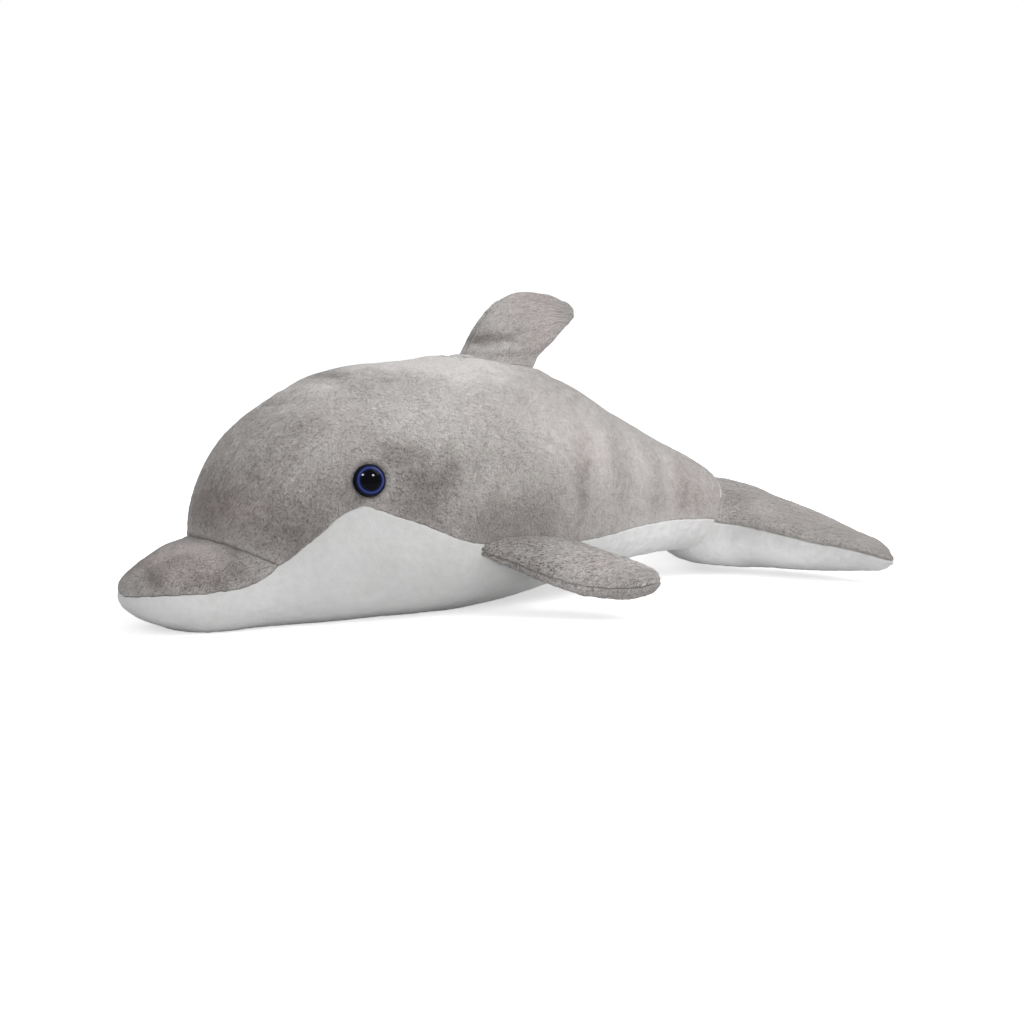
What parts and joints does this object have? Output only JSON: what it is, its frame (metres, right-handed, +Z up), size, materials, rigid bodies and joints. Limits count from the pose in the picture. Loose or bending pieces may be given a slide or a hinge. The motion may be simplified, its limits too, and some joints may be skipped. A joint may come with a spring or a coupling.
{
  "type": "plush dolphin",
  "caption": "Stuffed plush dolphin lying on its belly, grey back and fins, white underside, domed safety eyes.",
  "frame": {"origin": "on the floor under the middle of the toy's bounding box", "axes": "-X towards the beak, +X towards the fluke, -Y towards the toy's left side, +Z up out of the back"},
  "size_m": [0.3106, 0.175, 0.1189],
  "materials": {
    "grey_plush": "short-pile grey plush",
    "white_plush": "short-pile white plush",
    "fibre_filling": "loose polyester fibre filling",
    "eye_plastic": "polished dark plastic with a blue ring",
    "washer_nylon": "natural nylon"
  },
  "bodies": {
    "root": {"back_left_panel": "grey_plush", "back_right_panel": "grey_plush", "beak_panel": "grey_plush", "belly_panel": "white_plush", "body_stuffing": "fibre_filling", "dorsal_fin_left_panel": "grey_plush", "dorsal_fin_right_panel": "grey_plush", "dorsal_fin_stuffing": "fibre_filling", "flipper_left_top_panel": "grey_plush", "flipper_left_bottom_panel": "grey_plush", "flipper_left_stuffing": "fibre_filling", "flipper_right_top_panel": "grey_plush", "flipper_right_bottom_panel": "grey_plush", "flipper_right_stuffing": "fibre_filling", "fluke_top_panel": "grey_plush", "fluke_bottom_panel": "white_plush", "fluke_stuffing": "fibre_filling", "eye_left": "eye_plastic", "eye_right": "eye_plastic", "eye_washer_left": "washer_nylon", "eye_washer_right": "washer_nylon"}
  },
  "joints": []
}
